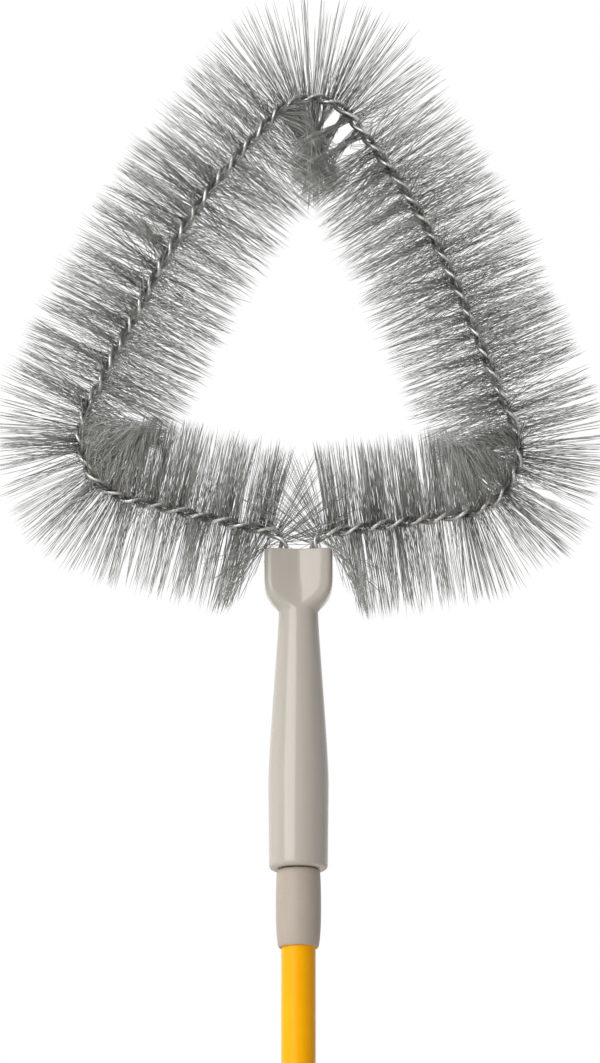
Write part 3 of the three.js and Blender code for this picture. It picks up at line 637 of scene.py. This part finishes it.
loop = {
    "mouthAcross": 8.5, "mouthRise": 9.8, "mouthBend": 9, "tailDepth": 18.7,
    "left": (-139.4, 41.0), "leftBend": 37, "right": (138.5, 28.4), "rightBend": 38,
    "apex": (9.5, 281.4), "apexBend": 27, "sideBow": 17.8, "sideBowAt": 0.63, "sideBend": 550, "step": 0.25,
}


def loopCorners(c):
    apex = np.array(c["apex"])

    def bowed(corner, side):
        along = apex - corner
        out = side * np.array([-along[1], along[0]]) / np.linalg.norm(along)
        return corner + c["sideBowAt"] * along + c["sideBow"] * out

    left, right = np.array(c["left"]), np.array(c["right"])
    m, rise, tail = c["mouthAcross"], c["mouthRise"], c["tailDepth"]
    places = [(-m, -tail), (-m, rise), left, bowed(left, 1), apex,
              bowed(right, -1), right, (m, rise), (m, -tail)]
    bends = [0, c["mouthBend"], c["leftBend"], c["sideBend"], c["apexBend"],
             c["sideBend"], c["rightBend"], c["mouthBend"], 0]
    return [np.array(p, float) for p in places], bends


# Points every quarter millimetre along the loop, and where each rounded corner starts and ends along it
def loopLine(c):
    places, bends = loopCorners(c)
    points, marks, length = [places[0]], [], 0.0

    def walkTo(end):
        nonlocal length
        start = points[-1]
        gap = np.linalg.norm(end - start)
        for share in np.linspace(0, 1, max(2, int(gap / c["step"])))[1:]:
            points.append(start + share * (end - start))
        length += gap

    for i in range(1, len(places) - 1):
        before, after = places[i - 1] - places[i], places[i + 1] - places[i]
        lengths = np.linalg.norm(before), np.linalg.norm(after)
        before, after = before / lengths[0], after / lengths[1]
        half = math.acos(float(np.dot(before, after))) / 2
        leg = min(bends[i] / math.tan(half), 0.5 * min(lengths))
        radius = leg * math.tan(half)
        middle = (before + after) / np.linalg.norm(before + after)
        centre = places[i] + middle * radius / math.sin(half)
        bendStart, bendEnd = places[i] + before * leg, places[i] + after * leg
        walkTo(bendStart)
        enter = length
        a0, a1 = (math.atan2(*(p - centre)[::-1]) for p in (bendStart, bendEnd))
        turn = (a1 - a0 + math.pi) % (2 * math.pi) - math.pi
        for share in np.linspace(0, 1, max(3, int(abs(turn) * radius / c["step"])))[1:]:
            angle = a0 + share * turn
            points.append(centre + radius * np.array([math.cos(angle), math.sin(angle)]))
        length += abs(turn) * radius
        marks.append((enter, length))
    walkTo(places[-1])
    return np.array(points), marks


linePoints, bendMarks = loopLine(loop)
lineSteps = np.linalg.norm(np.diff(linePoints, axis=0), axis=1)
lineAt = np.concatenate([[0], np.cumsum(lineSteps)])
lineLength = lineAt[-1]
lineHeading = np.gradient(linePoints, lineAt, axis=0)
lineHeading /= np.linalg.norm(lineHeading, axis=1)[:, None]


def onLine(at):
    place = np.stack([np.interp(at, lineAt, linePoints[:, i]) for i in (0, 1)], axis=1)
    heading = np.stack([np.interp(at, lineAt, lineHeading[:, i]) for i in (0, 1)], axis=1)
    return place, heading / np.linalg.norm(heading, axis=1)[:, None]


# Twisted core: two bright strands winding round the loop

wire = {"strandRadius": 1.25, "twistRadius": 2.0, "twistPitch": 24.73, "twistStart": 82, "stepsPerTwist": 16,
        "bevelSteps": 3}


def twistAt(at):
    return math.radians(wire["twistStart"]) + 2 * math.pi * at / wire["twistPitch"]


def makeStrand(name, phase, node):
    count = int(lineLength / wire["twistPitch"] * wire["stepsPerTwist"])
    at = np.linspace(0, lineLength, count)
    place, heading = onLine(at)
    turn = phase + twistAt(at)
    across, depth = wire["twistRadius"] * np.cos(turn), wire["twistRadius"] * np.sin(turn)
    points = np.stack([place[:, 0] - heading[:, 1] * across, depth,
                       cupRim + place[:, 1] + heading[:, 0] * across], axis=1)
    curve = bpy.data.curves.new(name, "CURVE")
    curve.dimensions = "3D"
    curve.bevel_depth = wire["strandRadius"] * mm
    curve.bevel_resolution = wire["bevelSteps"]
    curve.use_fill_caps = True
    spline = curve.splines.new("POLY")
    spline.points.add(count - 1)
    weighted = np.concatenate([points * mm, np.ones((count, 1))], axis=1)
    spline.points.foreach_set("co", weighted.ravel())
    strand = bpy.data.objects.new(name, curve)
    scene.collection.objects.link(strand)
    makeActive(strand)
    bpy.ops.object.convert(target="MESH")
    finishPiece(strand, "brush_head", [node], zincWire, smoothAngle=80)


makeStrand("coreWireA", 0.0, "core_wire_a")
makeStrand("coreWireB", math.pi, "core_wire_b")
print("wire made")


# Bristles: filaments caught between the strands, so they fan out in two combs that wind with the twist

bristle = {
    "seed": 11,
    # One filament, in mm and shares of its length
    "rootRadius": 0.145, "radius": 0.187, "ringRises": (0.3, 0.57), "tipRise": 0.13, "curl": 0.025,
    "reach": 55, "topExtra": 15, "insideExtra": {"base": 0, "corner": 0, "side": 3}, "pastSolid": 2,
    "reachSpread": 0.015, "tuftReachSpread": 0.11,
    # How they fan out, in shares and degrees: flat in the loop's plane, in the combs, or loose
    "flatShare": {"base": 0.24, "corner": 0.45, "side": 0.25}, "flatSpread": 24, "combShare": 0.15,
    "combSpread": 16, "looseReach": 72, "tiltSpread": 2,
    # Tufts
    "tuftPitch": 2.2, "tuftFanSpread": 6, "tuftTiltSpread": 2.5, "clump": 0.58, "openTufting": 0.45,
    "tufting": {"base": 0.4, "corner": 0.4, "side": 1.35},
    # Crowding inside the corners, and the paler shade that crowded filaments are drawn to: painted light
    # that lifts the shade among them
    "crowdWithin": 35, "crowdReach": 20, "topCrowding": 0.6, "crowdEven": 0.65, "crowdShade": 0.75,
    # The open stretch beside the top, and where the two sides meet below the apex
    "openFrom": 414, "openTo": 453, "openSpread": 9, "openThin": 0.6, "openFacing": 0.5,
    "meetReach": 14.5, "meetLeast": 4, "meetAim": 0.2, "meetRise": 0.3,
    # The mouth, and the parting either side of the cup
    "mouthSkip": 0.16, "mouthSpread": 52, "mouthOutSpread": 20, "mouthTilt": 5, "mouthThin": 0.3,
    "mouthOutThin": 0.75, "splayThin": 0.1, "splayWithin": 42, "splayStep": 5, "splayTries": 24,
    "splaySpots": (0.15, 1, 9), "cupClear": 1.5, "cupAbove": 1, "flareBelow": 6, "flareLeft": 0.6,
    "flareRight": 0.42, "flareSpread": 0.5,
    # How much of its shade a filament has from its tuft, and where its faces lie in their map column
    "tuftShade": 0.5, "mapLeft": 0.15, "mapRight": 0.85, "mapFoot": 0.02,
}

firstAt = bendMarks[0][0] + bristle["mouthSkip"] * (bendMarks[0][1] - bendMarks[0][0])
lastAt = bendMarks[-1][1] - bristle["mouthSkip"] * (bendMarks[-1][1] - bendMarks[-1][0])
(leftIn, leftOut), (topIn, topOut), (rightIn, rightOut) = bendMarks[1], bendMarks[3], bendMarks[5]
topAt = (topIn + topOut) / 2
stretches = [  # piece, node, how it lies, from, to, filaments per mm, share of them that points inwards
    ("filamentsBaseLeft", "bristles_base_left", "base", firstAt, leftIn, 14.4, 0.703),
    ("filamentsCornerLeft", "bristles_corner_left", "corner", leftIn, leftOut, 16.5, 0.515),
    ("filamentsSideLeft", "bristles_side_left", "side", leftOut, topIn, 12.7, 0.41),
    ("filamentsTop", "bristles_corner_top", "corner", topIn, topOut, 24, 0.73),
    ("filamentsSideRight", "bristles_side_right", "side", topOut, rightIn, 12.4, 0.476),
    ("filamentsCornerRight", "bristles_corner_right", "corner", rightIn, rightOut, 16.8, 0.524),
    ("filamentsBaseRight", "bristles_base_right", "base", rightOut, lastAt, 14.7, 0.697),
]


# One filament, modelled once: a closed needle, thin at the root, full from its first ring on and pointed
def filamentTemplate(b):
    clearSelection()
    bpy.ops.mesh.primitive_circle_add(vertices=3, radius=1, fill_type="NGON")
    model = bpy.context.object
    editAll()
    for rise in (*b["ringRises"], b["tipRise"]):
        bpy.ops.mesh.extrude_region_move(TRANSFORM_OT_translate={"value": (0, 0, rise)})
    bpy.ops.mesh.merge(type="CENTER")
    faceOutwards()
    corners = np.array([v.co[:] for v in model.data.vertices])
    faces = [list(f.vertices) for f in model.data.polygons]
    atRoot = corners[:, 2] < 0.01
    bpy.data.objects.remove(model)
    return corners, faces, atRoot


# Which way the twist points the filaments, round the wire: 0 is out of the loop and pi is into it
def combTurn(at, side):
    return twistAt(at) + math.pi / 2 + math.pi * side


# Where a stretch's filaments leave the wire, and which comb each is in: 0 mostly out of the loop, 1 into it
def layRoots(start, end, perMm, innerShare, b, rng):
    at, side = np.empty(0), np.empty(0, int)
    for way, share in ((0, 1 - innerShare), (1, innerShare)):
        number = int((end - start) * perMm * share)
        at = np.append(at, start + (end - start) * (np.arange(number) + rng.random(number)) / number)
        side = np.append(side, np.full(number, way))
    # Fewer of them in the mouth, in the open stretch, and beside the socket, where they draw together
    inMouth = (at < bendMarks[0][1]) | (at > bendMarks[-1][0])
    nearCup = (side == 0) & (np.abs(onLine(at)[0][:, 0]) < b["splayWithin"])
    inStretch = (at > b["openFrom"]) & (at < b["openTo"])
    facing = np.cos(combTurn(at, side))  # below 0 the twist points them into the loop
    between = inStretch & (facing < 0) & (facing > -b["openFacing"])
    turnedOut = inStretch & (facing > 0) & (side == 1)
    thinned = np.select([inMouth & (side == 0), inMouth, nearCup, between, turnedOut],
                        [b["mouthOutThin"], b["mouthThin"], b["splayThin"], 1, b["openThin"]])
    kept = rng.random(len(at)) >= thinned
    order = np.argsort(at[kept])
    return [values[kept][order] for values in (at, side, inMouth, inStretch)]


# How much those inside the loop crowd each other out of its plane: by the lower corners and under the apex
def crowdingAt(at, side, inStretch, b):
    corners = (leftIn, leftOut), (rightIn, rightOut)
    toCorner = np.min([np.maximum(low - at, at - high) for low, high in corners], axis=0)
    crowding = np.where(side == 1, np.clip(1 - toCorner / b["crowdWithin"], 0, 1), 0)
    underApex = (side == 1) & (at > topIn) & (at < topOut) & ~inStretch
    return np.where(underApex, b["topCrowding"], crowding)


# Each filament's turn round the wire and tilt along it. Those of a tuft lean the same way and draw together
def fanOut(at, side, inMouth, inStretch, tuft, key, crowding, lay, b, rng):
    count = len(at)
    fromMiddle = at - (tuft + 0.5) * b["tuftPitch"]
    tuftFan = rng.normal(0, b["tuftFanSpread"], key.max() + 1)[key]
    tufting = np.where(inStretch, b["openTufting"], b["tufting"][lay])
    tuftTilt = rng.normal(0, b["tuftTiltSpread"], key.max() + 1)[key] * tufting
    clump = b["clump"] * tufting
    comb = combTurn(at - clump * fromMiddle, side)
    inOpening = inStretch & (np.cos(comb) < 0)
    kind = rng.random(count)
    normal, even = rng.normal(0, 1, count), rng.uniform(-1, 1, count)
    flatShare = b["flatShare"][lay] * (1 - crowding)
    flat = inMouth | ((kind < flatShare) & ~inOpening)
    inComb = kind < flatShare + b["combShare"] * (1 - crowding)
    crowded = kind > 1 - crowding
    comb = np.where(flat | crowded, math.pi * side, comb)
    mouthSpread = np.where(side == 1, b["mouthSpread"], b["mouthOutSpread"])
    looseReach = b["looseReach"] + b["crowdReach"] * crowding
    offset = np.where(inComb, normal * b["combSpread"], even * looseReach)
    offset = np.where(flat, normal * np.where(inMouth, mouthSpread, b["flatSpread"]), offset)
    offset = np.where(inOpening, normal * b["openSpread"], offset + tuftFan)
    fan = comb + np.radians(offset)
    strayed = inStretch & ~inOpening & (np.cos(fan) < 0)
    fan = np.where(strayed, math.pi - fan, fan)
    tiltSpread = np.where(inMouth, b["mouthTilt"], b["tiltSpread"])
    tilt = np.radians(rng.normal(0, 1, count) * tiltSpread + tuftTilt) - clump * fromMiddle / b["reach"]
    return fan, tilt


# Filaments that would run into the socket, or across it, lean outwards until they pass it
def steerPastCup(root, aim, curl, length, b, rng):
    shares = np.linspace(*b["splaySpots"])[None, :, None]
    side = np.where(root[:, 0] < 0, -1.0, 1.0)
    flare = np.where(side < 0, b["flareLeft"], b["flareRight"])
    flare = flare * (1 + b["flareSpread"] * rng.random(len(root)))
    cupSide = socket["cupHalfWidth"] + b["cupClear"]
    for _ in range(b["splayTries"]):
        bent = shares * aim[:, None, :] + shares ** 2 * curl[:, None, :]
        spots = root[:, None, :] + length[:, None, None] * bent
        drop = -spots[:, :, 2]
        half = cupSide + flare[:, None] * np.maximum(0, drop - b["flareBelow"])
        hit = ((drop > -b["cupAbove"]) & (np.abs(spots[:, :, 0]) < half)).any(axis=1)
        if not hit.any():
            break
        aim[hit, 0] += side[hit] * math.tan(math.radians(b["splayStep"]))
        aim[hit] /= np.linalg.norm(aim[hit], axis=1)[:, None]
    return aim


# Each filament's root, aim, curl and length, in mm from the cup's rim
def growOut(at, side, fan, tilt, key, lay, b, rng):
    count = len(at)

    def inPlane(x, z):
        return np.stack([x, np.zeros(count), z], axis=1)

    place, heading = onLine(at)
    root = inPlane(place[:, 0], place[:, 1])
    ahead = inPlane(heading[:, 0], heading[:, 1])
    across = inPlane(-heading[:, 1], heading[:, 0])
    depth = np.tile([0.0, 1.0, 0.0], (count, 1))
    spread = across * np.cos(fan)[:, None] + depth * np.sin(fan)[:, None]
    aim = spread * np.cos(tilt)[:, None] + ahead * np.sin(tilt)[:, None]
    nearTop = np.clip(1 - np.abs(at - topAt) / (topOut - topIn), 0, 1)
    reach = b["reach"] + b["topExtra"] * nearTop + b["insideExtra"][lay] * side
    length = reach * (1 - np.abs(rng.normal(0, b["reachSpread"], count)))
    length *= 1 - b["tuftReachSpread"] * rng.random(key.max() + 1)[key]
    length /= np.hypot(np.cos(fan), np.sin(fan) * reach / (brushDepth + b["pastSolid"]))
    curl = rng.normal(0, b["curl"], (count, 3))
    curl -= aim * np.sum(curl * aim, axis=1)[:, None]
    aim = steerPastCup(root, aim, curl, length, b, rng)
    # The two sides meet below the apex and reach only a little way past each other
    ownSide = np.where(at < topAt, 1.0, -1.0)
    toMeet = (loop["apex"][0] - root[:, 0]) * ownSide + b["meetReach"]
    inwards = aim[:, 0] * ownSide
    meeting = (place[:, 1] > loop["apex"][1] / 2) & (inwards > b["meetAim"]) & (aim[:, 2] < b["meetRise"])
    upTo = np.maximum(toMeet, b["meetLeast"]) / np.maximum(inwards, b["meetAim"])
    return root, aim, curl, np.where(meeting, np.minimum(length, upTo), length)


# One mesh for a stretch: a copy of the template for each filament, bent along its own line
def filamentMesh(name, root, aim, curl, length, template, b, rng):
    corners, faces, atRoot = template
    count, perCopy = len(root), len(corners)
    sideways = np.cross(aim, rng.normal(size=(count, 3)))
    sideways /= np.linalg.norm(sideways, axis=1)[:, None]
    other = np.cross(aim, sideways)
    rise = corners[:, 2]
    girth = np.where(atRoot, b["rootRadius"], b["radius"])
    bent = rise[None, :, None] * aim[:, None, :] + (rise ** 2)[None, :, None] * curl[:, None, :]
    body = (corners[:, 0] * girth)[None, :, None] * sideways[:, None, :]
    body += (corners[:, 1] * girth)[None, :, None] * other[:, None, :]
    spine = root[:, None, :] + length[:, None, None] * bent
    spots = (spine + body + np.array([0, 0, cupRim])) * mm
    allCorners = (np.concatenate(faces)[None, :] + (np.arange(count) * perCopy)[:, None]).ravel()
    faceSizes = np.tile([len(face) for face in faces], count)
    starts = np.concatenate([[0], np.cumsum(faceSizes)[:-1]])
    mesh = bpy.data.meshes.new(name)
    mesh.vertices.add(count * perCopy)
    mesh.vertices.foreach_set("co", spots.astype(np.float32).ravel())
    mesh.loops.add(len(allCorners))
    mesh.loops.foreach_set("vertex_index", allCorners.astype(np.int32))
    mesh.polygons.add(len(faceSizes))
    mesh.polygons.foreach_set("loop_start", starts.astype(np.int32))
    mesh.polygons.foreach_set("use_smooth", np.tile([not atRoot[face].all() for face in faces], count))
    mesh.update()
    mesh.validate()
    return mesh


# The map: a column for the filament's shade, root at the foot and tip at the head, each face with some width
def mapShades(mesh, level, template, b):
    corners, faces, atRoot = template
    left, right, foot = b["mapLeft"], b["mapRight"], b["mapFoot"]
    middle = (left + right) / 2
    near = 0.1
    cornerAcross, cornerUp = [], []
    for face in faces:
        if atRoot[face].all():
            cornerAcross += [left, right, middle]
            cornerUp += [foot, foot, 0.0]
            continue
        turns = np.arctan2(corners[face, 1], corners[face, 0])
        onRing = np.hypot(corners[face, 0], corners[face, 1]) > near  # all but the tip
        low, high = turns[onRing].min(), turns[onRing].max()
        first = low if high - low < math.pi + near else high
        for corner, turn, ringed in zip(face, turns, onRing):
            beside = left if abs(turn - first) < near else right
            cornerAcross.append(beside if ringed else middle)
            cornerUp.append(foot + (1 - 2 * foot) * corners[corner, 2])
    columns = filamentLook["columns"]
    lot = np.floor(level * columns)
    lot[:2] = (0, columns - 1)  # so that the map spans its full width
    u = (lot[:, None] + np.array(cornerAcross)[None, :]) / columns
    v = np.tile(np.array(cornerUp), (len(level), 1))
    layer = mesh.uv_layers.new(name="OFBake")
    layer.data.foreach_set("uv", np.stack([u.ravel(), v.ravel()], axis=1).astype(np.float32).ravel())


def makeFilaments(name, node, lay, start, end, perMm, innerShare, template, b, seed):
    rng = np.random.default_rng(seed)
    at, side, inMouth, inStretch = layRoots(start, end, perMm, innerShare, b, rng)
    tuft = np.floor(at / b["tuftPitch"]).astype(int)
    key = (tuft - tuft[0]) * 2 + side
    crowding = crowdingAt(at, side, inStretch, b)
    fan, tilt = fanOut(at, side, inMouth, inStretch, tuft, key, crowding, lay, b, rng)
    root, aim, curl, length = growOut(at, side, fan, tilt, key, lay, b, rng)
    mesh = filamentMesh(name, root, aim, curl, length, template, b, rng)
    level = b["tuftShade"] * rng.random(key.max() + 1)[key] + (1 - b["tuftShade"]) * rng.random(len(at))
    # Crowded filaments inside the corners and under the apex are drawn towards one paler, even shade:
    # painted light that lifts the shade among them
    level += (b["crowdShade"] - level) * b["crowdEven"] * crowding
    mapShades(mesh, level, template, b)
    piece = bpy.data.objects.new(name, mesh)
    scene.collection.objects.link(piece)
    mesh.materials.append(filamentGrey)
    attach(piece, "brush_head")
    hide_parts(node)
    return len(at)


filament = filamentTemplate(bristle)
total = 0
for i, stretch in enumerate(stretches):
    total += makeFilaments(*stretch, filament, bristle, bristle["seed"] + i)
print("bristles made:", total, "filaments on", round(lineLength), "mm of wire")


# Floor, world and lights

studio = {
    "floorSize": 90, "floorDark": "#ebe9e5", "floorLight": "#eeece8", "floorCloud": 1000 / 3,
    "floorRough": 0.8, "white": "#ffffff",
    "lowFill": 0.02, "highFill": 1.3, "fillFrom": (-0.76, 0.36, 0.54), "fillFull": 0.9,
    "key": {"place": (-1.47, -2.14, 2.1), "size": (2.15, 2.6), "power": 56},
    "bounce": {"place": (-0.4, -1.3, 0.3), "size": (1.6, 1.0), "power": 1.2},
    "top": {"place": (0.0, 1.4, 5.0), "size": (5.0, 5.0), "power": 40},
    "aim": (0.0, 0.0, 1.08),
}


def turnTo(item, toward):
    level = math.hypot(toward[0], toward[1])
    item.rotation_euler = (math.atan2(level, -toward[2]), 0, math.atan2(-toward[0], toward[1]))


def makeFloor(s):
    clearSelection()
    bpy.ops.mesh.primitive_plane_add(size=s["floorSize"])
    floor = bpy.context.object
    floor.name = "studioFloor"
    material, tree = startMaterial("paleFloor")
    place = addNode(tree, "TexCoord").outputs["Object"]
    cloud = addNode(tree, "TexNoise", {"size": s["floorCloud"]}, {"Vector": place})
    colour = addNode(tree, "ValToRGB", {"stops": [(noiseLow, s["floorDark"]), (noiseHigh, s["floorLight"])]},
                     {"Fac": cloud.outputs["Fac"]})
    shader = addNode(tree, "BsdfPrincipled", {"Roughness": s["floorRough"]},
                     {"Base Color": colour.outputs["Color"]})
    addNode(tree, "OutputMaterial", {}, {"Surface": shader.outputs["BSDF"]})
    floor.data.materials.append(material)


# Plain white where it is seen or mirrored; its light on the duster comes from the upper left
def makeWorld(s):
    world = bpy.data.worlds.new("studioWorld")
    scene.world = world
    world.use_nodes = True
    tree = world.node_tree
    tree.nodes.clear()
    path = addNode(tree, "LightPath")
    through = addNode(tree, "Math", {"operation": "MAXIMUM"},
                      {0: path.outputs["Is Camera Ray"], 1: path.outputs["Is Transmission Ray"]})
    seen = addNode(tree, "Math", {"operation": "MAXIMUM"},
                   {0: through.outputs["Value"], 1: path.outputs["Is Glossy Ray"]})
    place = addNode(tree, "TexCoord").outputs["Generated"]
    toward = addNode(tree, "VectorMath", {"operation": "DOT_PRODUCT", 1: s["fillFrom"]}, {0: place})
    level = addNode(tree, "MapRange", {"interpolation_type": "SMOOTHSTEP", 1: 0.0, 2: s["fillFull"],
                                       3: s["lowFill"], 4: s["highFill"]}, {0: toward.outputs["Value"]})
    fill = addNode(tree, "Background", {"Color": linear(s["white"])}, {"Strength": level.outputs["Result"]})
    white = addNode(tree, "Background", {"Color": linear(s["white"]), "Strength": 1.0})
    mixed = addNode(tree, "MixShader", {}, {0: seen.outputs["Value"], 1: fill.outputs["Background"],
                                            2: white.outputs["Background"]})
    addNode(tree, "OutputWorld", {}, {"Surface": mixed.outputs["Shader"]})


def makeLights(s):
    for name in ("key", "bounce", "top"):
        lamp = bpy.data.lights.new(name + "Softbox", "AREA")
        lamp.shape = "RECTANGLE"
        lamp.size, lamp.size_y = s[name]["size"]
        lamp.energy = s[name]["power"]
        box = bpy.data.objects.new(name + "Softbox", lamp)
        scene.collection.objects.link(box)
        box.location = s[name]["place"]
        box.visible_camera = False
        turnTo(box, np.array(s["aim"]) - np.array(s[name]["place"]))


makeFloor(studio)
makeWorld(studio)
makeLights(studio)

# Camera: a long lens a little below the brush, looking up at it

view = {"target": (0.84, 0.0, 1074.0), "distance": 4000, "elevation": -14, "mmPerPixel": 0.5595,
        "tallPixels": 1063, "sensor": 36}


def makeCamera(v):
    lens = bpy.data.cameras.new("photoCamera")
    lens.sensor_width = v["sensor"]
    lens.lens = v["sensor"] * v["distance"] / (v["tallPixels"] * v["mmPerPixel"])
    camera = bpy.data.objects.new("photoCamera", lens)
    scene.collection.objects.link(camera)
    rise = math.radians(v["elevation"])
    back = np.array([0, -math.cos(rise), math.sin(rise)])
    camera.location = (np.array(v["target"]) + back * v["distance"]) * mm
    turnTo(camera, -back)
    scene.camera = camera


makeCamera(view)
print("studio and camera made")
